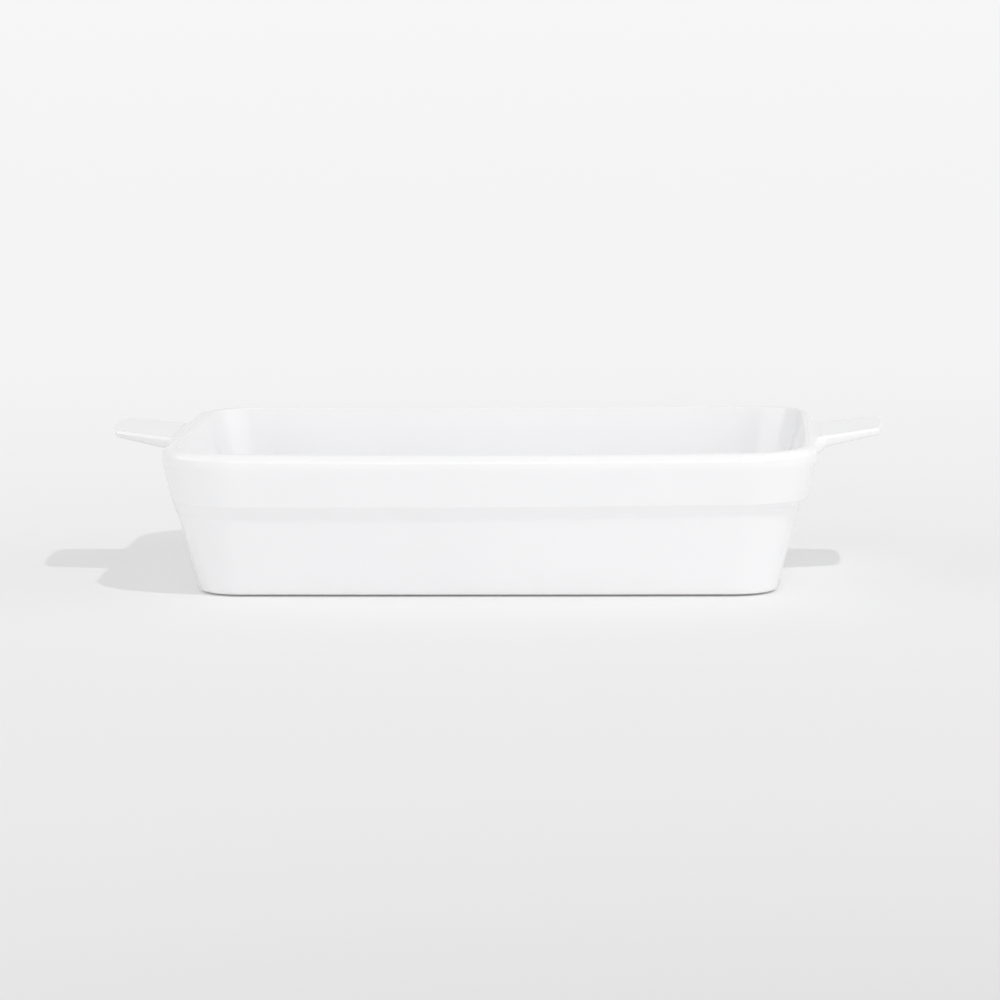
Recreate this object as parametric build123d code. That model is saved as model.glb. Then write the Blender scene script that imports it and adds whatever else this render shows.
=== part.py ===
from build123d import *
import math
import os

# A white oven dish of glazed stoneware for lasagna, in millimetres.
# It is made of five pieces of clay, stuck together with slip and fired into one:
# a flared basin, a thick band round its rim, a tab handle at each end, and a low foot ring.
# X runs along the dish from handle to handle, Y across it, and Z up.
# The origin is on the surface that the dish stands on, under its middle.
# An inset is how far a face lies in from the rim's widest outline, all the way round.

# Rim
RIM_LENGTH = 350.0
RIM_WIDTH = 244.0
RIM_CORNER = 41.0
DISH_HEIGHT = 78.5
RIM_THICKNESS = 7.8
ROUND_OVER = 4.8
INNER_EDGE = 1.4

# Band round the rim: its height, how far it draws in below the rim, and the ledge under it
BAND_HEIGHT = 28.5
BAND_TAPER = 5.0
LEDGE_HEIGHT = 6.5
LEDGE_DEPTH = 3.0
BAND_LIP = 0.8
CREST_INSET = 5.2

# Basin below the band
WALL_LEAN = 11.8
BASE_WALL = 7.2
FLOOR_THICKNESS = 7.0
BASE_CORNER = 23.0
BOTTOM_ROUND = 4.5
FLOOR_ROUND = 13.0

# Foot ring
FOOT_HEIGHT = 1.4
FOOT_INSET = 6.0
FOOT_WIDTH = 8.0
FOOT_EASE = 0.4

# Tab handles
HANDLE_REACH = 36.0
HANDLE_ROOT_WIDTH = 75.0
HANDLE_TIP_WIDTH = 64.0
HANDLE_BOW = 2.5
HANDLE_CORNER = 9.0
HANDLE_FLARE = 10.0
HANDLE_DROP = 0.8
HANDLE_RISE = 4.5
HANDLE_TIP_THICKNESS = 4.2
HANDLE_ROOT_THICKNESS = 6.4
HANDLE_UNDER_ROUND = 5.0
HANDLE_EDGE = 1.6
HANDLE_SINK = 2.8

# Places that follow from those sizes
RIM_END_X = RIM_LENGTH / 2
SHOULDER_Z = DISH_HEIGHT - ROUND_OVER
LEDGE_TOP_Z = DISH_HEIGHT - BAND_HEIGHT
LEDGE_FOOT_Z = LEDGE_TOP_Z - LEDGE_HEIGHT
WALL_TOP_INSET = BAND_TAPER + LEDGE_DEPTH + BAND_LIP
WALL_FOOT_INSET = WALL_TOP_INSET + WALL_LEAN
FLOOR_Z = FOOT_HEIGHT + FLOOR_THICKNESS
HANDLE_TIP_X = RIM_END_X + HANDLE_REACH
HANDLE_ROOT_X = RIM_END_X - HANDLE_SINK
HANDLE_INNER_X = HANDLE_ROOT_X - HANDLE_SINK


def outline(inset, z):
    """The dish's outline at height z: a rounded rectangle whose corners tighten from the rim to the base."""
    corner = RIM_CORNER - (RIM_CORNER - BASE_CORNER) * inset / WALL_FOOT_INSET
    return Pos(0, 0, z) * RectangleRounded(RIM_LENGTH - 2 * inset, RIM_WIDTH - 2 * inset, corner)


def flared(low, high):
    """A solid with straight sloping sides between two outlines, each given as its inset and height."""
    return loft([outline(*low), outline(*high)], ruled=True)


def collar():
    """The band's outer form, filled in: a sloping ledge, a face that leans out, and a rounded rim.
    The face's line is set out so that the rounded rim just reaches the rim's widest outline."""
    slope = BAND_TAPER / (SHOULDER_Z - LEDGE_TOP_Z)
    overhang = ROUND_OVER * (math.hypot(1, slope) - 1)
    ledge_inset = BAND_TAPER - overhang
    ledge = flared((ledge_inset + LEDGE_DEPTH, LEDGE_FOOT_Z), (ledge_inset, LEDGE_TOP_Z))
    face = flared((ledge_inset, LEDGE_TOP_Z), (-overhang - ROUND_OVER * slope, DISH_HEIGHT))
    body = ledge + face
    return fillet(body.edges().group_by(Axis.Z)[-1], ROUND_OVER)


def band_seat():
    """The top of the basin that the band closes round, a little more upright than the wall below."""
    return flared((WALL_TOP_INSET, LEDGE_FOOT_Z), (CREST_INSET, DISH_HEIGHT))


def rim_band():
    """The thick collar round the upper third of the dish."""
    return collar() - band_seat()


def inner_space():
    """The hollow of the dish, rounded where its walls meet its floor."""
    hollow = flared((WALL_FOOT_INSET + BASE_WALL, FLOOR_Z), (RIM_THICKNESS, DISH_HEIGHT))
    return fillet(hollow.edges().group_by(Axis.Z)[0], FLOOR_ROUND)


def basin():
    """The floor and the flared walls, up to the inner edge of the rim."""
    wall = flared((WALL_FOOT_INSET, FOOT_HEIGHT), (WALL_TOP_INSET, LEDGE_FOOT_Z))
    wall = fillet(wall.edges().group_by(Axis.Z)[0], BOTTOM_ROUND)
    shell = wall + band_seat() - inner_space()
    rim = shell.faces().sort_by(Axis.Z)[-1]
    return fillet(rim.inner_wires()[0].edges(), INNER_EDGE)


def foot_ring():
    """The low unglazed ring that the dish stands on, set in from the edge of its base."""
    outer_inset = WALL_FOOT_INSET + FOOT_INSET
    ring = extrude(outline(outer_inset, 0) - outline(outer_inset + FOOT_WIDTH, 0), FOOT_HEIGHT)
    return fillet(ring.edges().group_by(Axis.Z)[0], FOOT_EASE)


def handle_top(x):
    """The height of a handle's upper face, which rises from just under the rim to its tip."""
    return DISH_HEIGHT - HANDLE_DROP + HANDLE_RISE * (x - RIM_END_X) / HANDLE_REACH


def handle_plan():
    """A handle seen from above: it widens into the band at its root, and its tip is bowed."""
    half_root = HANDLE_ROOT_WIDTH / 2
    half_tip = HANDLE_TIP_WIDTH / 2
    half_seat = half_root + 2 * HANDLE_FLARE
    corner_x = HANDLE_TIP_X - HANDLE_BOW
    tip = ThreePointArc((corner_x, -half_tip), (HANDLE_TIP_X, 0), (corner_x, half_tip))
    sides = Polyline((corner_x, half_tip), (HANDLE_ROOT_X, half_root), (HANDLE_ROOT_X, half_seat),
                     (HANDLE_INNER_X, half_seat), (HANDLE_INNER_X, -half_seat), (HANDLE_ROOT_X, -half_seat),
                     (HANDLE_ROOT_X, -half_root), (corner_x, -half_tip))
    plan = make_face([tip.edge(), *sides.edges()])
    plan = fillet(plan.vertices().group_by(Axis.X)[-1], HANDLE_CORNER)
    root_corners = plan.vertices().group_by(Axis.X)[1].sort_by(lambda corner: abs(corner.Y))
    return fillet(root_corners[:2], HANDLE_FLARE)


def handle_side():
    """A handle seen from the side: thick and rounded into the band at its root, thin at its tip."""
    under_root_z = handle_top(HANDLE_ROOT_X) - HANDLE_ROOT_THICKNESS
    low_z = under_root_z - 2 * HANDLE_UNDER_ROUND
    side = make_face(Polyline(
        (HANDLE_INNER_X, handle_top(HANDLE_INNER_X)), (HANDLE_TIP_X, handle_top(HANDLE_TIP_X)),
        (HANDLE_TIP_X, handle_top(HANDLE_TIP_X) - HANDLE_TIP_THICKNESS), (HANDLE_ROOT_X, under_root_z),
        (HANDLE_ROOT_X, low_z), (HANDLE_INNER_X, low_z), close=True))
    root_corner = side.vertices().group_by(Axis.X)[1].sort_by(Axis.Y)[-1]
    return Plane.XZ * fillet(root_corner, HANDLE_UNDER_ROUND)


def handle():
    """The handle on the +X end, with rounded edges, cut to the band that it is stuck to."""
    plan_block = extrude(handle_plan(), handle_top(HANDLE_TIP_X))
    side_block = extrude(handle_side(), HANDLE_ROOT_WIDTH, both=True)
    tab = plan_block & side_block
    broad = tab.faces().filter_by(GeomType.PLANE).filter_by(lambda face: face.center().X > RIM_END_X)
    rims = broad.sort_by(SortBy.AREA)[-2:].edges()
    rounded = rims.filter_by(lambda edge: abs(edge.center().Y) > HANDLE_EDGE
                             and edge.center().X > HANDLE_ROOT_X + HANDLE_EDGE / 2)
    return fillet(rounded, HANDLE_EDGE) - collar()


os.makedirs("parts", exist_ok=True)
right = handle()
nodes = {
    "basin": basin(),
    "rim_band": rim_band(),
    "handle_right": right,
    "handle_left": Rot(0, 0, 180) * right,
    "foot_ring": foot_ring(),
}
for name, shape in nodes.items():
    export_step(shape, f"parts/{name}.step")
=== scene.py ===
# %% [markdown]
# A white stoneware dish for lasagna, dressed round its CAD frame.
# The dish is one fired object made of five pieces of clay: a basin, a band round its rim, two tab
# handles and a foot ring. Each piece here stands for the CAD piece of the same name.
# Every surface is a formula of two parameters, worked out as whole numpy arrays. The shapes are
# reckoned in millimetres and written into the meshes in metres.

# %% Load the frame
import bmesh
import bpy
import numpy as np
from mathutils import Matrix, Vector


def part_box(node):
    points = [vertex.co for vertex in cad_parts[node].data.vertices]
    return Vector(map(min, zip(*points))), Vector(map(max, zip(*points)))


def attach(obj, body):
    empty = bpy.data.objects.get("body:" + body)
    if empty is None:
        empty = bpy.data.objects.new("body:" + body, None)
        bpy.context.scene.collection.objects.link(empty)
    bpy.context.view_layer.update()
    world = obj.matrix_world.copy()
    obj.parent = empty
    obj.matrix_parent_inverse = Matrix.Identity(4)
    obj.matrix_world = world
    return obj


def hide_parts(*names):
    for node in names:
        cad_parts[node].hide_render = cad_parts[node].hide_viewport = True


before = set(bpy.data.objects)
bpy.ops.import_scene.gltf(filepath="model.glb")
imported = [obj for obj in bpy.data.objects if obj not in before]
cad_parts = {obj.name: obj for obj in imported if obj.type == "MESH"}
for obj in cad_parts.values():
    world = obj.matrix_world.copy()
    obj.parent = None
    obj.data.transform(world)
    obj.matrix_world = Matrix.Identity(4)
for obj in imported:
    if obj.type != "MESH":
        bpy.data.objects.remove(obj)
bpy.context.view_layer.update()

MM = 0.001


def node_box(node):
    """The lowest and the highest corner of a CAD piece, in millimetres."""
    low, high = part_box(node)
    return np.array(low) / MM, np.array(high) / MM


# %% [markdown]
# The sizes of the dish.
# The outer sizes are read from the frame, so the dressed dish can't drift from the CAD one.
# The rest says where each face lies. An inset is how far a face lies in from the rim's widest outline.

# %% Sizes from the frame
BAND_LOW, BAND_HIGH = node_box("rim_band")
HALF_LENGTH, HALF_WIDTH, RIM_Z = BAND_HIGH
FOOT_OVERLAP = 0.4
BASE_Z = node_box("basin")[0][2] - FOOT_OVERLAP
FOOT_INSET = HALF_LENGTH - node_box("foot_ring")[1][0]
LEDGE_FOOT_Z = BAND_LOW[2]

RIM_CORNER = 41.0
BASE_CORNER = 23.0
RIM_THICKNESS = 7.8
RIM_THINNER_RIGHT = 1.3
CREST_INSET = 5.2
ROUND_OVER = 4.2
WALL_TOP_INSET = 8.8
WALL_FOOT_INSET = 20.6
BASE_WALL = 7.2
FLOOR_THICKNESS = 7.4
FLOOR_Z = BASE_Z + FLOOR_THICKNESS
FOOT_WIDTH = 8.0

print("rim half sizes", round(HALF_LENGTH, 1), round(HALF_WIDTH, 1), "height", round(RIM_Z, 1))

# %% [markdown]
# The walk round the dish.
# Seen from above, every level of the dish is a rounded rectangle. One could bevel a box, but then the
# corners couldn't tighten towards the base. Here a walk round the outline is worked out once, as three
# lists: which corner's centre a point belongs to, in X and in Y, and which way it faces. Each level is
# then the same walk with its own inset, so that all levels line up point by point.

# %% Walk round the outline
CORNER_STEPS = 34
LONG_STEPS = 70
SHORT_STEPS = 44


def walk_round():
    """The walk's corner signs and its angle. At corner k the angle turns from k to k + 1 quarter turns
    while the signs stay. Along a side the angle stays while the signs slide to the next corner's."""
    signs = [(1, 1), (-1, 1), (-1, -1), (1, -1)]
    sx, sy, angle = [], [], []
    for k, (x, y) in enumerate(signs):
        turn = np.linspace(k, k + 1, CORNER_STEPS) * np.pi / 2
        steps = SHORT_STEPS if k % 2 else LONG_STEPS
        slide = np.linspace(0, 1, steps, endpoint=False)[1:]
        next_x, next_y = signs[(k + 1) % 4]
        sx += [np.full(CORNER_STEPS, x), x + (next_x - x) * slide]
        sy += [np.full(CORNER_STEPS, y), y + (next_y - y) * slide]
        angle += [turn, np.full(steps - 1, (k + 1) * np.pi / 2)]
    return np.concatenate(sx), np.concatenate(sy), np.concatenate(angle)


SIDE_X, SIDE_Y, FACING = walk_round()
ROUND_COUNT = len(FACING)
print("points round the dish:", ROUND_COUNT)

# %% Levels of the dish
SMALLEST_CORNER = BASE_CORNER / 3
TINY = 1e-6


def level(inset, z, scale=1.0):
    """Points of the outline at an inset and a height: the corner centre, plus the corner radius the way
    the point faces. Inset and height may differ for each row and each point of the walk."""
    inset = inset * np.ones(ROUND_COUNT)
    corner = RIM_CORNER - (RIM_CORNER - BASE_CORNER) * inset / WALL_FOOT_INSET
    corner = np.maximum(corner, SMALLEST_CORNER)
    x = SIDE_X * (HALF_LENGTH - inset - corner) + corner * np.cos(FACING)
    y = SIDE_Y * (HALF_WIDTH - inset - corner) + corner * np.sin(FACING)
    return np.stack(np.broadcast_arrays(x * scale, y * scale, z), axis=-1)


def smooth_step(value, start, end):
    """0 up to start, 1 from end, and 3t squared minus 2t cubed between."""
    t = np.clip((value - start) / (end - start), 0, 1)
    return t * t * (3 - 2 * t)


def between(start, end, steps):
    """Rows evenly spaced between two corners, without the corners themselves."""
    t = np.linspace(0, 1, steps + 2)[1:-1].reshape((-1,) + (1,) * start.ndim)
    return start + (end - start) * t


def rounded_path(corners, radii, arc_steps, line_steps):
    """A path through corners with its inner corners rounded to true arcs.
    Each arc is a rational curve of second order: its middle weight is the sine of half the angle that
    the two runs enclose. A corner is a pair of numbers, or of arrays with one value for each column.
    Arcs that overlap would fold the surface on itself, so the path stops at them."""
    corners = [np.stack(np.broadcast_arrays(*corner), axis=-1).astype(float) for corner in corners]
    corners = np.stack(np.broadcast_arrays(*corners))
    rows = [corners[:1]]
    for k in range(1, len(corners) - 1):
        to_last, to_next = corners[k - 1] - corners[k], corners[k + 1] - corners[k]
        to_last = to_last / np.linalg.norm(to_last, axis=-1, keepdims=True)
        to_next = to_next / np.linalg.norm(to_next, axis=-1, keepdims=True)
        half = np.arccos(np.clip((to_last * to_next).sum(-1, keepdims=True), -1, 1)) / 2
        radius = np.asarray(radii[k - 1])
        reach = (radius[..., None] if radius.ndim else radius) / np.tan(half)
        start, end = corners[k] + to_last * reach, corners[k] + to_next * reach
        if np.any(((rows[-1][-1] - start) * to_last).sum(-1) < -TINY):
            raise ValueError(f"the arcs of a path overlap before corner {k}")
        t = np.linspace(0, 1, arc_steps).reshape((-1,) + (1,) * (corners.ndim - 1))
        weight = 2 * np.sin(half) * t * (1 - t)
        arc = ((1 - t) ** 2 * start + weight * corners[k] + t ** 2 * end) / ((1 - t) ** 2 + weight + t ** 2)
        rows += [between(rows[-1][-1], start, line_steps), arc]
    rows += [between(rows[-1][-1], corners[-1], line_steps), corners[-1:]]
    return np.concatenate(rows)


# %% [markdown]
# The marks of the hand and the kiln.
# A dish pressed and joined by hand isn't true. The photograph shows the long rims sagging by about a
# millimetre, the sides bowing a little, and the lower body sitting slightly to the left of the rim.
# One could sculpt each piece, but then the pieces would part at their joints. So one formula moves a
# point by where it is, and every piece goes through it.

# %% Kiln movement
RIM_SAG = 1.2
SIDE_BOW = 0.9
WAVE = 0.35
WAVE_TABLE = [dict(along=3.1, across=1.3, height=0.03, phase=0.0, share=1.0),
              dict(along=-2.2, across=5.3, height=0.0, phase=1.0, share=1.0),
              dict(along=7.9, across=0.0, height=0.09, phase=2.1, share=0.6)]
SAG_ACROSS_POWER = 4
LOWER_SHIFT = 1.2
LEDGE_RISE = 7.0


def kiln(points):
    """Moves points as the firing did. The long rims sink as one minus x squared, the sides draw in
    towards the corners as a square, and three long sine waves draw the walls in by about WAVE at most."""
    x, y, z = points[..., 0], points[..., 1], points[..., 2]
    along, across = x / HALF_LENGTH, y / HALF_WIDTH
    height = smooth_step(z, LEDGE_FOOT_Z, RIM_Z)
    sag = RIM_SAG * np.clip(1 - along ** 2, 0, 1) * np.clip(np.abs(across), 0, 1) ** SAG_ACROSS_POWER * height
    waves = 2.0
    for wave in WAVE_TABLE:
        angle = wave["along"] * along + wave["across"] * across + wave["height"] * z + wave["phase"]
        waves = waves + wave["share"] * np.sin(angle)
    waves = WAVE * waves / 4
    bow_x = SIDE_BOW * np.clip(np.abs(across), 0, 1) ** 2 + waves
    bow_y = SIDE_BOW * np.clip(np.abs(along), 0, 1) ** 2 + waves
    return np.stack([x - bow_x * along, y - bow_y * across, z - sag], axis=-1)


def lower_shift(z):
    """How far the outside lies to the left at a height: nothing at the rim, all of it under the ledge."""
    return -LOWER_SHIFT * (1 - smooth_step(z, LEDGE_FOOT_Z, LEDGE_FOOT_Z + LEDGE_RISE))


# %% [markdown]
# From a grid of points to a mesh.
# A closed piece is a grid that runs round the dish one way and along its section the other. A section
# that returns to its start makes a ring, such as the band. One that starts and ends on the axis needs a
# pole at each end, such as the basin's floor and underside. One whose first and last rows lie folded on
# themselves, such as a handle's middle lines, is welded there. Faces turned inside out are found from the
# sign of the volume that they enclose.

# %% Mesh builder
SHARP_ANGLE = np.radians(42)
CURVE_SCALE = 3.5
SMOOTHINGS = 3
WELD_DISTANCE = 1e-6


def grid_faces(rows, columns, ring):
    """Quads between each row and the next, round all columns. A ring joins its last row to its first."""
    row = np.arange(rows if ring else rows - 1)[:, None]
    column = np.arange(columns)[None, :]
    next_row, next_column = (row + 1) % rows, (column + 1) % columns
    corners = [row * columns + column, row * columns + next_column,
               next_row * columns + next_column, next_row * columns + column]
    return np.stack(corners, axis=-1).reshape(-1, 4)


def pole_faces(rows, columns):
    """Triangles from the first row to a point after the last one, and from the last row to a second."""
    column = np.arange(columns)
    following = (column + 1) % columns
    first, last = rows * columns, rows * columns + 1
    base = (rows - 1) * columns
    start = np.stack([np.full(columns, first), following, column], axis=-1)
    end = np.stack([np.full(columns, last), base + column, base + following], axis=-1)
    return np.concatenate([start, end])


def enclosed_volume(points, faces):
    """The volume inside the faces: a sixth of each triangle's triple product, summed."""
    fans = [faces[:, [0, k, k + 1]] for k in range(1, faces.shape[1] - 1)]
    a, b, c = (points[np.concatenate(fans)[:, k]] for k in range(3))
    return (a * np.cross(b, c)).sum() / 6


def weld(mesh):
    """Joins points that lie on each other, and drops the faces that this leaves with no area."""
    shape = bmesh.new()
    shape.from_mesh(mesh)
    bmesh.ops.remove_doubles(shape, verts=shape.verts, dist=WELD_DISTANCE)
    shape.to_mesh(mesh)
    shape.free()


def glaze_run_and_fill_mask(grid, ring, outward):
    """Where glaze runs thin and where it pools: how sharply the section turns at each point, as a share of
    a small radius. Above 0 is a rounded edge that sheds glaze, and below 0 a hollow that collects it, where
    the glaze is also painted whiter as fill light on the hollow's shade."""
    before = grid - np.roll(grid, 1, axis=0)
    after = np.roll(grid, -1, axis=0) - grid
    if not ring:
        before[0], after[-1] = before[1], after[-2]
    step_before = np.linalg.norm(before, axis=-1, keepdims=True) + TINY
    step_after = np.linalg.norm(after, axis=-1, keepdims=True) + TINY
    turn = (after / step_after - before / step_before) / (step_before + step_after) * 2
    round_way = np.roll(grid, -1, axis=1) - np.roll(grid, 1, axis=1)
    normal = np.cross(before / step_before + after / step_after, round_way)
    normal /= np.linalg.norm(normal, axis=-1, keepdims=True) + TINY
    bend = (turn * normal).sum(-1) * outward * CURVE_SCALE
    for _ in range(SMOOTHINGS):
        bend = (np.roll(bend, 1, axis=0) + 2 * bend + np.roll(bend, -1, axis=0)) / 4
    return np.clip(bend, -1, 1)


def shell(name, grid, closing, material):
    """A closed mesh from a grid of points in millimetres, closed as a "ring", with "poles" or by a "fold".
    It gets its glaze thickness, with the hollows where the glaze is painted whiter as fill light, its place
    in the frame and its material, and takes the place of the CAD piece of the same name."""
    ring = closing == "ring"
    rows, columns = grid.shape[:2]
    points = grid.reshape(-1, 3)
    faces = grid_faces(rows, columns, ring)
    volume = enclosed_volume(points, faces)
    caps = np.zeros((0, 3), int)
    if closing == "poles":
        points = np.concatenate([points, [grid[0].mean(0), grid[-1].mean(0)]])
        caps = pole_faces(rows, columns)
        volume += enclosed_volume(points, caps)
    if volume < 0:
        faces, caps = faces[:, ::-1], caps[:, ::-1]
    mesh = bpy.data.meshes.new(name)
    mesh.from_pydata((points * MM).tolist(), [], faces.tolist() + caps.tolist())
    # How the glaze runs: thin over edges, and pooled in hollows, where it is also painted whiter as fill
    # light on their shade.
    thickness = np.zeros(len(points))
    thickness[:rows * columns] = glaze_run_and_fill_mask(grid, ring, np.sign(volume)).ravel()
    mesh.attributes.new("glaze_run_and_fill", "FLOAT", "POINT").data.foreach_set("value", thickness)
    if closing == "fold":
        weld(mesh)
    mesh.shade_smooth()
    mesh.set_sharp_from_angle(angle=SHARP_ANGLE)
    mesh.materials.append(material)
    piece = bpy.data.objects.new(name, mesh)
    bpy.context.scene.collection.objects.link(piece)
    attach(piece, "root")
    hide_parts(name)
    print(name, "faces", len(mesh.polygons), "volume in ml", round(abs(volume) / 1000, 1))


# %% [markdown]
# Node helpers.
# A material is a small graph, and a few helpers keep each graph short. The main one adds a node and fills
# its inputs, where an input may be a plain value or another node's output. Two more start a group with
# named inputs and outputs, and a material.

# %% Node helpers


def add(tree, kind, inputs=None, **settings):
    """Adds a node, sets its settings, and fills inputs by name or number with values or links."""
    node = tree.nodes.new(kind)
    for key, value in settings.items():
        setattr(node, key, value)
    for key, value in (inputs or {}).items():
        if isinstance(value, bpy.types.NodeSocket):
            tree.links.new(value, node.inputs[key])
        else:
            node.inputs[key].default_value = value
    return node


def maths(tree, operation, *values):
    """A Math node's output, from numbers or other outputs."""
    return add(tree, "ShaderNodeMath", dict(enumerate(values)), operation=operation).outputs[0]


def mix(tree, factor, first, second, blend="MIX"):
    """A colour mixed from two others. A Mix node has sockets for every kind of value, and the numbers
    here are those for colours."""
    node = add(tree, "ShaderNodeMix", {0: factor, 6: first, 7: second}, data_type="RGBA", blend_type=blend)
    return node.outputs[2]


def grey(tree, value):
    """A grey from one number."""
    return add(tree, "ShaderNodeCombineColor", {0: value, 1: value, 2: value}).outputs[0]


def group(name, inputs, outputs):
    """A new node group with its sockets, given as name to (kind, default), and its two end nodes."""
    tree = bpy.data.node_groups.new(name, "ShaderNodeTree")
    for label, (kind, value) in inputs.items():
        socket = tree.interface.new_socket(label, in_out="INPUT", socket_type=kind)
        socket.default_value = value
    for label, kind in outputs.items():
        tree.interface.new_socket(label, in_out="OUTPUT", socket_type=kind)
    start = tree.nodes.new("NodeGroupInput")
    end = tree.nodes.new("NodeGroupOutput")
    return tree, start.outputs, end.inputs


def use_group(tree, which, inputs):
    """A group placed in a material, with its own values."""
    return add(tree, "ShaderNodeGroup", inputs, node_tree=which).outputs


def new_material(name):
    """An empty material, its tree and its shader."""
    material = bpy.data.materials.new(name)
    material.use_nodes = True
    return material, material.node_tree, material.node_tree.nodes["Principled BSDF"]


FLOAT = "NodeSocketFloat"

# %% [markdown]
# Clay clouds and specks.
# Fired clay is never one colour. Wide soft clouds come from uneven firing and a fine grain from the clay
# itself. Small specks are iron in bare clay, or pinholes where gas broke through the glaze. Both effects
# show in the glazed and in the bare surface, at other strengths, so each is a group used by both.

# %% Clouds and specks groups
NOISE_DETAIL = 3.0
SPECK_FADE = 1.6


def clay_clouds_group():
    """Two noises, one wide and one fine, each about a middle of nothing."""
    tree, given, out = group("clay_clouds", {"Wide": (FLOAT, 14.0), "Fine": (FLOAT, 260.0),
                                             "Roughness": (FLOAT, 0.5)}, {"Clouds": FLOAT, "Grain": FLOAT})
    place = add(tree, "ShaderNodeTexCoord").outputs["Object"]
    wide = add(tree, "ShaderNodeTexNoise", {"Vector": place, "Scale": given["Wide"], "Detail": NOISE_DETAIL})
    fine = add(tree, "ShaderNodeTexNoise", {"Vector": place, "Scale": given["Fine"], "Detail": NOISE_DETAIL,
                                            "Roughness": given["Roughness"]})
    tree.links.new(maths(tree, "SUBTRACT", wide.outputs[0], 0.5), out["Clouds"])
    tree.links.new(maths(tree, "SUBTRACT", fine.outputs[0], 0.5), out["Grain"])
    return tree


def specks_group():
    """Round specks: one in each cell of a random net, where the distance to it is under its size.
    Only the cells whose random number is under the share get one, so that they form no even pattern."""
    tree, given, out = group("specks", {"Scale": (FLOAT, 90.0), "Size": (FLOAT, 0.05), "Share": (FLOAT, 0.5)},
                             {"Mask": FLOAT})
    place = add(tree, "ShaderNodeTexCoord").outputs["Object"]
    net = add(tree, "ShaderNodeTexVoronoi", {"Vector": place, "Scale": given["Scale"]})
    soft = maths(tree, "MULTIPLY", given["Size"], SPECK_FADE)
    dot = add(tree, "ShaderNodeMapRange", {"Value": net.outputs["Distance"], "From Min": given["Size"],
                                           "From Max": soft, "To Min": 1.0, "To Max": 0.0})
    chance = add(tree, "ShaderNodeSeparateColor", {"Color": net.outputs["Color"]}).outputs[0]
    chosen = maths(tree, "LESS_THAN", chance, given["Share"])
    tree.links.new(maths(tree, "MULTIPLY", dot.outputs[0], chosen), out["Mask"])
    return tree


CLAY_CLOUDS = clay_clouds_group()
SPECKS = specks_group()
print("groups:", [tree.name for tree in bpy.data.node_groups])

# %% [markdown]
# White glaze.
# The glaze is a soft-gloss white with a breath of violet. It is thicker where it pools in the creases, and
# there it is painted whiter: partly the whiter look of thick glaze, and partly painted fill light that lifts
# the shade of the creases and the ledge. It is a shade duller where it runs thin over an edge. One could
# paint these places, but the meshes carry how sharply they turn, and the glaze reads that. Its skin has the
# faint orange peel of a dipped glaze.

# %% White glaze material
GLAZE_WHITE = (0.889, 0.889, 0.899, 1)
GLAZE_THIN = (0.886, 0.884, 0.880, 1)
# Pooled glaze: whiter as thick glaze, and also painted fill light that lifts the shade in creases.
GLAZE_POOLED_PAINTED_FILL = (0.915, 0.915, 0.932, 1)
PINHOLE_BROWN = (0.45, 0.40, 0.34, 1)
GLAZE_UNEVEN = 0.5
THIN_FROM, THIN_SHARE = 0.25, 0.75
POOLED_FILL_FROM, POOLED_FILL_SHARE = 0.2, 0.8
GLAZE_CLOUDING = 0.05
PINHOLE_SHADE, PINHOLE_DEPTH = 0.28, 0.8
GLAZE_ROUGHNESS, ROUGHNESS_CLOUDING = 0.24, 0.12
PEEL_STRENGTH, PEEL_HEIGHT = 0.3, 0.00010
COAT_WEIGHT, COAT_ROUGHNESS = 0.35, 0.08


def white_glaze():
    """The glaze colour by thickness, with painted fill light in the hollows, clouds and pinholes, with a
    rippled skin.
    """
    material, tree, shader = new_material("white_glaze")
    clay = use_group(tree, CLAY_CLOUDS, {"Wide": 11.0, "Fine": 120.0, "Roughness": 0.25})
    pinholes = use_group(tree, SPECKS, {"Scale": 75.0, "Size": 0.016, "Share": 0.16})["Mask"]
    run = add(tree, "ShaderNodeAttribute", attribute_name="glaze_run_and_fill").outputs["Fac"]
    uneven = maths(tree, "MULTIPLY", clay["Clouds"], GLAZE_UNEVEN)
    thin = add(tree, "ShaderNodeMapRange", {"Value": maths(tree, "ADD", run, uneven), "From Min": THIN_FROM,
                                            "From Max": 1.0, "To Max": THIN_SHARE}).outputs[0]
    # Painted fill light: in hollows the colour turns whiter, lifting their shade as well as showing pooled
    # glaze.
    pooled_painted_fill = add(tree, "ShaderNodeMapRange", {"Value": maths(tree, "SUBTRACT", uneven, run),
                                              "From Min": POOLED_FILL_FROM, "From Max": 1.0,
                                              "To Max": POOLED_FILL_SHARE}).outputs[0]
    colour = mix(tree, thin, GLAZE_WHITE, GLAZE_THIN)
    colour = mix(tree, pooled_painted_fill, colour, GLAZE_POOLED_PAINTED_FILL)
    shade = maths(tree, "ADD", maths(tree, "MULTIPLY", clay["Clouds"], GLAZE_CLOUDING), 1.0)
    colour = mix(tree, 1.0, colour, grey(tree, shade), blend="MULTIPLY")
    colour = mix(tree, maths(tree, "MULTIPLY", pinholes, PINHOLE_SHADE), colour, PINHOLE_BROWN)
    rough = maths(tree, "ADD", maths(tree, "MULTIPLY", clay["Clouds"], ROUGHNESS_CLOUDING), GLAZE_ROUGHNESS)
    height = maths(tree, "SUBTRACT", clay["Grain"], maths(tree, "MULTIPLY", pinholes, PINHOLE_DEPTH))
    skin = add(tree, "ShaderNodeBump", {"Height": height, "Strength": PEEL_STRENGTH, "Distance": PEEL_HEIGHT})
    tree.links.new(colour, shader.inputs["Base Color"])
    tree.links.new(rough, shader.inputs["Roughness"])
    tree.links.new(skin.outputs[0], shader.inputs["Normal"])
    shader.inputs["Coat Weight"].default_value = COAT_WEIGHT
    shader.inputs["Coat Roughness"].default_value = COAT_ROUGHNESS
    return material


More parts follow.
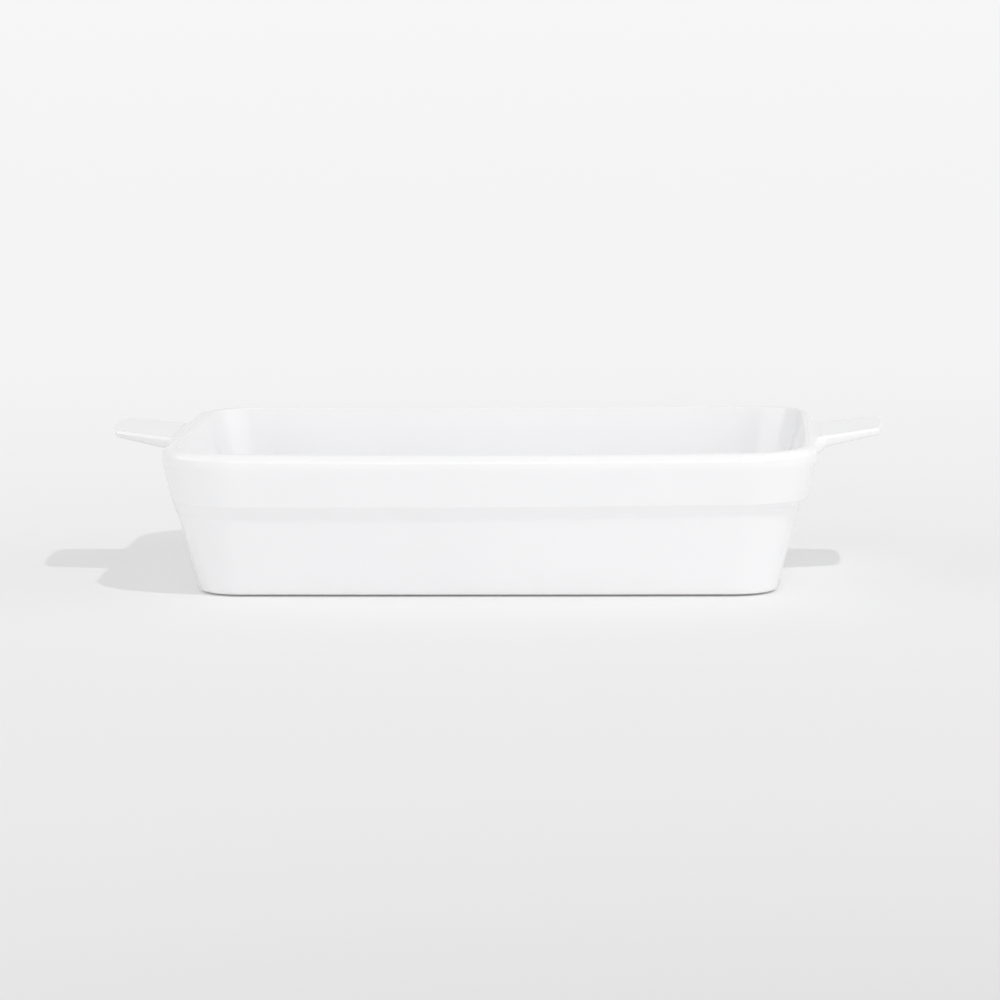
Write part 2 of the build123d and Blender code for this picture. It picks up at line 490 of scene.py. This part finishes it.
# %% [markdown]
# Bare stoneware.
# The foot is wiped free of glaze so that the dish doesn't stick to the kiln shelf. What shows is matt,
# warm grey clay with a sandy grain and small iron specks, from the same two groups at other values.

# %% Bare stoneware material
CLAY_PALE = (0.62, 0.55, 0.46, 1)
CLAY_DARK = (0.44, 0.37, 0.30, 1)
IRON_BROWN = (0.13, 0.09, 0.06, 1)
CLAY_TONE = 0.45
IRON_SHADE = 0.7
CLAY_ROUGHNESS, GRAIN_ROUGHNESS = 0.85, 0.2
GRIT_STRENGTH, GRIT_HEIGHT = 0.6, 0.0002


def bare_stoneware():
    """Clay between a pale and a dark tone, with a gritty surface."""
    material, tree, shader = new_material("bare_stoneware")
    clay = use_group(tree, CLAY_CLOUDS, {"Wide": 60.0, "Fine": 1400.0, "Roughness": 0.6})
    iron = use_group(tree, SPECKS, {"Scale": 420.0, "Size": 0.14, "Share": 0.22})["Mask"]
    tone = maths(tree, "ADD", maths(tree, "ADD", clay["Clouds"], clay["Grain"]), CLAY_TONE)
    colour = mix(tree, tone, CLAY_PALE, CLAY_DARK)
    colour = mix(tree, maths(tree, "MULTIPLY", iron, IRON_SHADE), colour, IRON_BROWN)
    grit = add(tree, "ShaderNodeBump", {"Height": clay["Grain"], "Strength": GRIT_STRENGTH,
                                        "Distance": GRIT_HEIGHT})
    rough = maths(tree, "ADD", maths(tree, "MULTIPLY", clay["Grain"], GRAIN_ROUGHNESS), CLAY_ROUGHNESS)
    tree.links.new(colour, shader.inputs["Base Color"])
    tree.links.new(rough, shader.inputs["Roughness"])
    tree.links.new(grit.outputs[0], shader.inputs["Normal"])
    return material


WHITE_GLAZE = white_glaze()
BARE_STONEWARE = bare_stoneware()
print("materials:", WHITE_GLAZE.name, BARE_STONEWARE.name)

# %% [markdown]
# The basin.
# The basin is a pressed slab: a flat floor and four walls that flare out. Its section starts at the middle
# of the floor, runs out and up the inside, turns over the rim's inner edge, and comes down the outside to
# the underside. The part behind the band is hidden. A skin with Solidify would give both faces one slope
# and one rounding. Here each face has its own, so the section is drawn in full.

# %% Where the outer wall and the ledge lie
LEDGE_FOOT_SOFT = 42.2
LEDGE_FOOT_CRISP = 47.0
CRISP_FROM_X, CRISP_TO_X = -20.0, 160.0
RIM_WALK_X = level(0.0, 0.0)[:, 0]
CRISPNESS = smooth_step(RIM_WALK_X, CRISP_FROM_X, CRISP_TO_X)
LEDGE_FOOT = LEDGE_FOOT_SOFT + (LEDGE_FOOT_CRISP - LEDGE_FOOT_SOFT) * CRISPNESS
WALL_SLOPE = (WALL_FOOT_INSET - WALL_TOP_INSET) / (LEDGE_FOOT_Z - BASE_Z)


def wall_inset(z):
    """How far the basin's outer wall lies in at a height: a straight slope down to the base."""
    return WALL_TOP_INSET + WALL_SLOPE * (LEDGE_FOOT_Z - z)


SEAT_RISE = 1.5
SEAT_Z = LEDGE_FOOT + SEAT_RISE
SEAT_INSET = wall_inset(SEAT_Z)
print("ledge foot in mm: left", round(LEDGE_FOOT.min(), 1), "right", round(LEDGE_FOOT.max(), 1))

# %% Basin
FLOOR_ROUND = 13.0
FLOOR_ROUND_SHARE = 0.95
INNER_EDGE = 0.85
RIM_THINS_FROM_X, RIM_THINS_TO_X = 110, 172
LIP_FALL, LIP_FALL_CREASE = 0.35, 0.65
CREASE_FACING = 1.22 * np.pi
CREASE_FULL, CREASE_GONE = 0.1, 0.8
CREASE_SIDE_X = -0.6
HIDDEN_ROWS = 3
BOTTOM_ROUND = 1.8
FLOOR_RINGS = 10
FLOOR_DISH = 0.4


def seam_fall():
    """How deep the seam lies between the basin's lip and the band, for each point of the walk. It is a
    faint hollow all round, and a crease at the front left corner, where the two clays pulled apart."""
    away = np.abs((FACING - CREASE_FACING + np.pi) % (2 * np.pi) - np.pi)
    crease = (1 - smooth_step(away, CREASE_FULL, CREASE_GONE)) * (SIDE_X < CREASE_SIDE_X)
    return LIP_FALL + LIP_FALL_CREASE * crease


SEAM_FALL = seam_fall()


def basin_grid():
    """Rows of the basin's section, each carried round the outline. Floor and underside are the outline
    shrunk towards the middle, and the floor sinks there by a hair."""
    thinning = smooth_step(RIM_WALK_X, RIM_THINS_FROM_X, RIM_THINS_TO_X)
    rim_thickness = RIM_THICKNESS - RIM_THINNER_RIGHT * thinning
    inside = rounded_path([(WALL_FOOT_INSET + BASE_WALL + FLOOR_ROUND, FLOOR_Z),
                           (WALL_FOOT_INSET + BASE_WALL, FLOOR_Z), (rim_thickness, RIM_Z),
                           (CREST_INSET, RIM_Z - SEAM_FALL)],
                          [FLOOR_ROUND * FLOOR_ROUND_SHARE, INNER_EDGE], 12, 14)
    outside = rounded_path([(SEAT_INSET, SEAT_Z), (WALL_FOOT_INSET, BASE_Z),
                            (WALL_FOOT_INSET + 2 * BOTTOM_ROUND, BASE_Z)], [BOTTOM_ROUND], 10, 16)
    hidden = between(inside[-1], outside[0], HIDDEN_ROWS)
    scales = np.linspace(0, 1, FLOOR_RINGS, endpoint=False)[1:, None]
    floor = level(inside[0, 0, 0], FLOOR_Z - FLOOR_DISH * (1 - scales ** 2), scales)
    under = level(outside[-1, 0, 0], BASE_Z, scales[::-1])
    rows = [floor, level(inside[..., 0], inside[..., 1]), level(hidden[..., 0], hidden[..., 1]),
            level(outside[..., 0], outside[..., 1]), under]
    outer_rows = sum(len(part) for part in rows[3:])
    grid = np.concatenate(rows)
    grid[-outer_rows:, :, 0] += lower_shift(grid[-outer_rows:, :, 2])
    return kiln(grid)


shell("basin", basin_grid(), "poles", WHITE_GLAZE)

# %% [markdown]
# The rim band.
# A thick strip of clay is wrapped round the top of the basin and its rim rounded with a wet sponge. Under
# it is a ledge. In the photograph the ledge is soft and low at the left, where glaze has filled the
# crease, and crisp and higher at the right. So the ledge's height and its two radii change along X, and
# the section runs smoothly into the wall at its foot.

# %% Rim band
LEDGE_TOP_SOFT, LEDGE_TOP_CRISP = 49.8, 51.0
FACE_FOOT_INSET = 4.9
SHOULDER_Z, SHOULDER_INSET = 71.0, 0.05
EDGE_SOFT, EDGE_CRISP = 5.0, 1.3
CREASE_SOFT, CREASE_CRISP = 5.0, 1.1
SHOULDER_RADIUS = 15.0
CREST_RUN, CREST_RADIUS = 0.6, 0.5
TAIL_SOFT, TAIL_CRISP = 3.2, 1.4
TUCK, TUCK_BEHIND = 0.04, 0.7
CLOSING_ROWS = HIDDEN_ROWS + 2


def band_section():
    """The band's section for each point of the walk, as inset and height: up from the seam, over the rim,
    down the face, round the ledge, and along the wall for a little way, just under its surface."""
    ledge_top = LEDGE_TOP_SOFT + (LEDGE_TOP_CRISP - LEDGE_TOP_SOFT) * CRISPNESS
    edge = EDGE_SOFT + (EDGE_CRISP - EDGE_SOFT) * CRISPNESS
    crease = CREASE_SOFT + (CREASE_CRISP - CREASE_SOFT) * CRISPNESS
    tail_z = LEDGE_FOOT - TAIL_SOFT + (TAIL_SOFT - TAIL_CRISP) * CRISPNESS
    corners = [(CREST_INSET, RIM_Z - SEAM_FALL), (CREST_INSET - CREST_RUN, RIM_Z), (0.0, RIM_Z),
               (SHOULDER_INSET, SHOULDER_Z), (FACE_FOOT_INSET, ledge_top),
               (wall_inset(LEDGE_FOOT), LEDGE_FOOT), (wall_inset(tail_z) + TUCK, tail_z)]
    outer = rounded_path(corners, [CREST_RADIUS, ROUND_OVER, SHOULDER_RADIUS, edge, crease], 16, 5)
    tail = np.stack([wall_inset(tail_z) + TUCK_BEHIND, tail_z], axis=-1)
    seat = np.stack([SEAT_INSET + TUCK_BEHIND, SEAT_Z], axis=-1)
    return np.concatenate([outer, [tail], [seat], between(seat, outer[0], HIDDEN_ROWS)])


def band_grid():
    """The section carried round the outline, with its lower part moved as the wall under it is."""
    section = band_section()
    grid = level(section[..., 0], section[..., 1])
    grid[..., 0] += lower_shift(grid[..., 2])
    return kiln(grid)


shell("rim_band", band_grid(), "ring", WHITE_GLAZE)

# %% [markdown]
# The foot ring.
# A low square-edged ring of clay, set in from the edge of the base, on which the dish stands. It makes
# the thin dark line at the table. It is a ring with a small rectangular section.

# %% Foot ring
FOOT_EDGE = 0.5


def foot_grid():
    """A rectangle with two rounded lower corners, carried round the outline."""
    inner = FOOT_INSET + FOOT_WIDTH
    section = rounded_path([(FOOT_INSET, BASE_Z), (FOOT_INSET, 0.0), (inner, 0.0), (inner, BASE_Z)],
                           [FOOT_EDGE, FOOT_EDGE], 6, 3)
    grid = level(section[:, 0, None], section[:, 1, None])
    grid[..., 0] += lower_shift(grid[..., 2])
    return kiln(grid)


shell("foot_ring", foot_grid(), "ring", BARE_STONEWARE)

# %% [markdown]
# The tab handles.
# Each handle is a tongue of clay pressed on to the band and smoothed in at its root. Its outline from
# above is a rounded path. Round that outline a half-round edge is carried, and inside the edge the two
# broad faces are filled by spokes that run to a line down the handle's middle. The root is worked out
# against a flat wall, and then each point moves in by as much as the band's face lies in at its height,
# so that the handle meets the rounded rim all the way.
# Reach is how far a handle stands out. Root and tip are its half widths, corner and flare the radii of its
# plan at the tip and at the root, and skew turns its tip. Drop is how far its top lies under the rim at the
# root, and rise is its climb from there. Undercut is how much narrower its lower face is on each side, and
# under_round is the radius under its root.

# %% Handle sizes, one set for each end
HANDLES = {
    "handle_left": dict(side=-1, reach=34.3, root=37.0, tip=34.0, skew=1.6, corner=8.0, drop=0.8, rise=4.2,
                        tip_thickness=4.0, root_thickness=6.6, flare=3.5, undercut=1.1, under_round=4.5),
    "handle_right": dict(side=1, reach=35.9, root=36.5, tip=30.5, skew=0.4, corner=5.0, drop=1.0, rise=4.6,
                         tip_thickness=4.2, root_thickness=6.6, flare=8.0, undercut=0.3, under_round=7.5),
}
BOW = 2.4
EDGE = 1.75
BURIED = 5.0
CONTACT = 0.15
SINK = 0.5
TOP_FILLET, TOP_FILLET_RISE = 1.9, 0.45
ROOT_FADE = 11.0
SEAT_PER_FLARE = 1.25
SEAT_RADIUS = 0.1
SPINE_END = 0.7
SPOKE_POWER = 0.9
BOW_STEPS = 15
EDGE_STEPS = 9
ROOT_STEPS = 24
SPOKE_STEPS = 22

# %% Handle outline


def handle_outline(reach, root, tip, skew, corner, flare, **other):
    """The outline from above, as the distance out from the band and the place across it. It starts inside
    the band, swells out of it in a flare, runs to the tip's rounded corners, and comes back."""
    seat = root + flare * SEAT_PER_FLARE
    bow = np.linspace(-1, 1, BOW_STEPS)[1:-1] * (tip - corner)
    tip_out = reach - BOW * (bow / tip) ** 2 + skew * bow / tip / 2
    near, far = reach - BOW - skew / 2, reach - BOW + skew / 2
    path = [(-BURIED, -seat), (-CONTACT, -seat), (-CONTACT, -root), (near, -tip), (tip_out[0], bow[0])]
    first = rounded_path(path, [SEAT_RADIUS, flare, corner], 18, 8)
    path = [(tip_out[-1], bow[-1]), (far, tip), (-CONTACT, root), (-CONTACT, seat), (-BURIED, seat)]
    second = rounded_path(path, [corner, flare, SEAT_RADIUS], 18, 8)
    middle = np.stack([tip_out, bow], axis=-1)[1:-1]
    root_line = between(second[-1], first[0], ROOT_STEPS)
    return np.concatenate([first, middle, second, root_line])


def opposite(values):
    """The values of each outline point's partner straight across the handle. The outline goes out along
    one side and comes back along the other, so the partner is counted from the other end."""
    return np.concatenate([values[:-ROOT_STEPS][::-1], values[-ROOT_STEPS:][::-1]])


def inward(path):
    """Unit normals to a closed path, pointing to its inside: the run of the path turned a quarter left."""
    run = np.roll(path, -1, axis=0) - np.roll(path, 1, axis=0)
    run /= np.linalg.norm(run, axis=-1, keepdims=True)
    return np.stack([-run[:, 1], run[:, 0]], axis=-1)


# %% Handle faces


def handle_heights(out, reach, drop, rise, tip_thickness, root_thickness, under_round, **other):
    """The upper and lower face at a distance out from the band. The upper rises in a line to the tip, with
    a small fillet at the rim. The lower rises faster, and turns down into the band in a quarter round."""
    along = out / reach
    top = RIM_Z - drop + rise * along - SINK * np.maximum(-CONTACT - out, 0)
    top_fillet = TOP_FILLET_RISE * np.clip(1 - np.maximum(out, 0) / TOP_FILLET, 0, 1) ** 2
    thickness = root_thickness + (tip_thickness - root_thickness) * smooth_step(along, -0.1, 1.0)
    gap = np.clip(under_round - out - CONTACT, 0, under_round)
    under = under_round - np.sqrt(under_round ** 2 - gap ** 2)
    return top + top_fillet, top - thickness - under


def band_face_inset(z):
    """How far the band's outer face lies in at a height, in the middle of an end."""
    middle = np.argmin(np.abs(FACING) + np.abs(SIDE_Y))
    section = band_section()[:-CLOSING_ROWS, middle]
    order = np.argsort(section[:, 1])
    return np.interp(z, section[order, 1], section[order, 0])


def handle_grid(sizes):
    """Rows from the middle line of the upper face, out over the rounded edge, and back under to the middle
    line of the lower face. A row inside the edge is the outline moved in by the edge's radius, and slid
    along its spoke to the middle line, halfway to its partner across the handle."""
    outline = handle_outline(**sizes)
    turn = np.linspace(0, np.pi / 2, EDGE_STEPS)[:, None]
    rim = outline + inward(outline) * EDGE * (1 - np.sin(turn))[..., None]
    inner = rim[0]
    spine = (inner + opposite(inner)) / 2
    spine[:, 0] = np.clip(spine[:, 0], -CONTACT, sizes["reach"] - sizes["tip"] * SPINE_END)
    share = np.linspace(0, 1, SPOKE_STEPS, endpoint=False)[:, None, None]
    broad = spine + (inner - spine) * np.sin(share * np.pi / 2) ** SPOKE_POWER
    plan = np.concatenate([broad, rim])
    lift = np.concatenate([np.ones(len(broad)), np.cos(turn[:, 0])])[:, None]
    top, bottom = handle_heights(plan[..., 0], **sizes)
    middle = (top + bottom) / 2
    half = (top - bottom) / 2
    upper = middle + half - EDGE * (1 - lift)
    lower = middle - half + EDGE * (1 - lift)
    plan = np.concatenate([plan, plan[::-1] * [1, 1 - sizes["undercut"] / sizes["root"]]])
    z = np.concatenate([upper, lower[::-1]])
    out = plan[..., 0]
    fade = 1 - smooth_step(out, 0, ROOT_FADE)
    x = HALF_LENGTH + out - band_face_inset(z) * fade
    grid = np.stack([sizes["side"] * x, plan[..., 1], z], axis=-1)
    return kiln(grid)


for end, sizes in HANDLES.items():
    shell(end, handle_grid(sizes), "fold", WHITE_GLAZE)

# %% [markdown]
# Lamps and floor.
# A small key light 1.8 m off at the front right throws the crisp shadows. Its place was found from them:
# the two handles' shadows spread apart, so it is near. Soft boxes and an even sky fill in the rest.
# The dish stands on white paper that reaches past the top of the picture. In the picture its grey lightens
# with distance and doesn't fade with the lamps. So what the camera sees of it is worked out from the
# lamps' own law: where they light it less, it glows by what is missing, and close to a lamp its colour is
# painted darker. Only the camera and reflections see that. The light that the floor returns to the dish
# is the lamps' alone, and the shadows stay.

# %% Lamp values
SKY_STRENGTH = 0.530
BACKDROP_STRENGTH = 0.90
KEY_POWER, KEY_RADIUS = 27.0, 0.022
KEY_PLACE = (0.587, -0.859, 1.456)
AIM = (0.0, 0.0, 0.04)
SOFT_BOXES = {
    "front_box": dict(place=(0.30, -2.00, 0.45), size=(2.4, 0.7), power=8.2),
    "left_high_box": dict(place=(-1.40, -0.20, 1.30), size=(1.9, 1.9), power=3.4),
    "right_high_box": dict(place=(1.40, 0.30, 1.20), size=(1.9, 1.9), power=3.5),
    "left_box": dict(place=(-1.70, -0.50, 0.60), size=(1.8, 1.0), power=4.8),
    "right_box": dict(place=(1.70, -0.20, 0.60), size=(1.8, 1.0), power=4.0),
}

# %% Placing a lamp or a camera


def placing_matrix(ahead, place, roll=0.0):
    """The matrix that puts a lamp or camera at a place, looking ahead, with its top upwards and then
    rolled. Its three axes are right, up and back."""
    ahead = np.array(ahead) / np.linalg.norm(ahead)
    right = np.cross(ahead, [0, 0, 1])
    right /= np.linalg.norm(right)
    up = np.cross(right, ahead)
    right, up = np.cos(roll) * right + np.sin(roll) * up, np.cos(roll) * up - np.sin(roll) * right
    matrix = Matrix([list(row) for row in np.stack([right, up, -ahead], axis=-1)]).to_4x4()
    matrix.translation = place
    return matrix


# %% Light


def add_lamp(name, lamp, place):
    """Links a lamp at its place, looking at the dish, where the camera doesn't see it."""
    piece = bpy.data.objects.new(name, lamp)
    piece.matrix_world = placing_matrix(np.array(AIM) - place, place)
    piece.visible_camera = False
    bpy.context.scene.collection.objects.link(piece)


def seen_directly(tree):
    """1 for what the camera sees itself or in a reflection, and 0 for light on its way."""
    path = add(tree, "ShaderNodeLightPath").outputs
    return maths(tree, "MAXIMUM", path["Is Camera Ray"], path["Is Glossy Ray"])


def light_the_scene():
    """An even sky that shows as a pale backdrop, a small key lamp, and wide soft boxes in front and at
    both sides."""
    world = bpy.data.worlds.new("studio_sky")
    bpy.context.scene.world = world
    world.use_nodes = True
    tree = world.node_tree
    strength = add(tree, "ShaderNodeMapRange", {"Value": seen_directly(tree), "To Min": SKY_STRENGTH,
                                                "To Max": BACKDROP_STRENGTH}).outputs[0]
    tree.nodes["Background"].inputs[0].default_value = (1, 1, 1, 1)
    tree.links.new(strength, tree.nodes["Background"].inputs[1])
    key = bpy.data.lights.new("key_lamp", "POINT")
    key.energy, key.shadow_soft_size = KEY_POWER, KEY_RADIUS
    add_lamp("key_lamp", key, KEY_PLACE)
    for name, box in SOFT_BOXES.items():
        lamp = bpy.data.lights.new(name, "AREA")
        lamp.shape = "RECTANGLE"
        lamp.size, lamp.size_y = box["size"]
        lamp.energy = box["power"]
        add_lamp(name, lamp, box["place"])


light_the_scene()
print("lamps:", [lamp.name for lamp in bpy.data.lights])

# %% Floor
FLOOR_SIZE = 60.0
PAPER_WHITE = 0.92
FLOOR_SHARE = 0.90
WIDE_BOX_SHARE = 0.80
GREY_NEAR, GREY_FAR = 0.806, 0.934
FADE_FROM_Y = -1.0
FADE_LENGTH = 1.9
FADE_POWER = 1.25
POINT_LEVEL = 1 / (4 * np.pi ** 2)
BOX_LEVEL = 1 / np.pi ** 2
WHITE = (1, 1, 1, 1)


def lamp_level(tree, spot, place, strength, ahead=None):
    """How brightly a lamp lights a spot of white floor: its height over the cube of its distance, times
    its strength, which is its power times POINT_LEVEL or BOX_LEVEL. A box loses the cosine to the way
    that it faces as well."""
    offset = add(tree, "ShaderNodeVectorMath", {0: spot, 1: place}, operation="SUBTRACT").outputs[0]
    distance = add(tree, "ShaderNodeVectorMath", {0: offset}, operation="LENGTH").outputs["Value"]
    level = maths(tree, "DIVIDE", strength * place[2], maths(tree, "POWER", distance, 3.0))
    if ahead is None:
        return level
    facing = add(tree, "ShaderNodeVectorMath", {0: offset, 1: ahead}, operation="DOT_PRODUCT")
    cosine = maths(tree, "DIVIDE", facing.outputs["Value"], distance)
    return maths(tree, "MULTIPLY", level, maths(tree, "MAXIMUM", cosine, 0.0))


def floor_material():
    """Matt paper whose grey fades: from a line in front of the dish it lightens towards the back, fast at
    first and then ever more slowly, as one over a power of the way along it. For the camera and reflections
    it glows by what the lamps leave missing, and where they light it more its colour is painted darker.
    The boxes are wide, and light the floor near the dish a fifth less than a point would."""
    material, tree, shader = new_material("studio_floor")
    spot = add(tree, "ShaderNodeTexCoord").outputs["Object"]
    along = add(tree, "ShaderNodeSeparateXYZ", {0: spot}).outputs[1]
    way = maths(tree, "MAXIMUM", maths(tree, "SUBTRACT", along, FADE_FROM_Y), 0.0)
    stretch = maths(tree, "ADD", maths(tree, "DIVIDE", way, FADE_LENGTH), 1.0)
    tone = add(tree, "ShaderNodeMapRange", {"Value": maths(tree, "POWER", stretch, -FADE_POWER),
                                            "To Min": GREY_FAR, "To Max": GREY_NEAR}).outputs[0]
    level = lamp_level(tree, spot, KEY_PLACE, KEY_POWER * POINT_LEVEL)
    level = maths(tree, "ADD", level, SKY_STRENGTH)
    for box in SOFT_BOXES.values():
        ahead = np.array(AIM) - box["place"]
        ahead = tuple(ahead / np.linalg.norm(ahead))
        strength = box["power"] * WIDE_BOX_SHARE * BOX_LEVEL
        level = maths(tree, "ADD", level, lamp_level(tree, spot, box["place"], strength, ahead))
    share = maths(tree, "MINIMUM", maths(tree, "DIVIDE", 1.0, level), FLOOR_SHARE)
    missing = maths(tree, "SUBTRACT", 1.0, maths(tree, "MULTIPLY", level, share))
    seen = seen_directly(tree)
    lit = maths(tree, "MULTIPLY", tone, share)
    colour = mix(tree, seen, (PAPER_WHITE, PAPER_WHITE, PAPER_WHITE, 1), grey(tree, lit))
    glow = maths(tree, "MULTIPLY", maths(tree, "MULTIPLY", maths(tree, "MAXIMUM", missing, 0.0), tone), seen)
    tree.links.new(colour, shader.inputs["Base Color"])
    tree.links.new(glow, shader.inputs["Emission Strength"])
    shader.inputs["Emission Color"].default_value = WHITE
    shader.inputs["Roughness"].default_value = 1.0
    shader.inputs["Specular IOR Level"].default_value = 0.0
    return material


def floor_plane():
    """One square face at the height of the foot ring's underside."""
    half = FLOOR_SIZE / 2
    mesh = bpy.data.meshes.new("studio_floor")
    corners = [(-half, -half, 0), (half, -half, 0), (half, half, 0), (-half, half, 0)]
    mesh.from_pydata(corners, [], [(0, 1, 2, 3)])
    mesh.materials.append(floor_material())
    floor = bpy.data.objects.new("studio_floor", mesh)
    bpy.context.scene.collection.objects.link(floor)


floor_plane()
print("floor of", FLOOR_SIZE, "m, its grey from", GREY_NEAR, "to", GREY_FAR)

# %% Camera
CAMERA_PLACE = (0.1330, -2.6403, 0.3765)
CAMERA_PAN = -0.04970
CAMERA_TILT = 0.12705
CAMERA_ROLL = -0.00771
FOCAL_PIXELS = 4854.4
IMAGE_PIXELS = 1000
SENSOR_MM = 36.0
CLIP_END = 100


def photo_camera():
    """The photograph's camera. It looks along +Y, turned by the pan, dipped by the tilt and rolled."""
    pan, tilt = CAMERA_PAN, CAMERA_TILT
    ahead = (np.sin(pan) * np.cos(tilt), np.cos(pan) * np.cos(tilt), -np.sin(tilt))
    lens = bpy.data.cameras.new("photo_camera")
    lens.sensor_fit = "HORIZONTAL"
    lens.sensor_width = SENSOR_MM
    lens.lens = FOCAL_PIXELS * SENSOR_MM / IMAGE_PIXELS
    lens.clip_end = CLIP_END
    camera = bpy.data.objects.new("photo_camera", lens)
    camera.matrix_world = placing_matrix(ahead, CAMERA_PLACE, CAMERA_ROLL)
    bpy.context.scene.collection.objects.link(camera)
    bpy.context.scene.camera = camera


photo_camera()
bpy.context.scene.view_settings.view_transform = "Standard"
print("camera at", CAMERA_PLACE, "with a lens of", round(bpy.context.scene.camera.data.lens, 1), "mm")
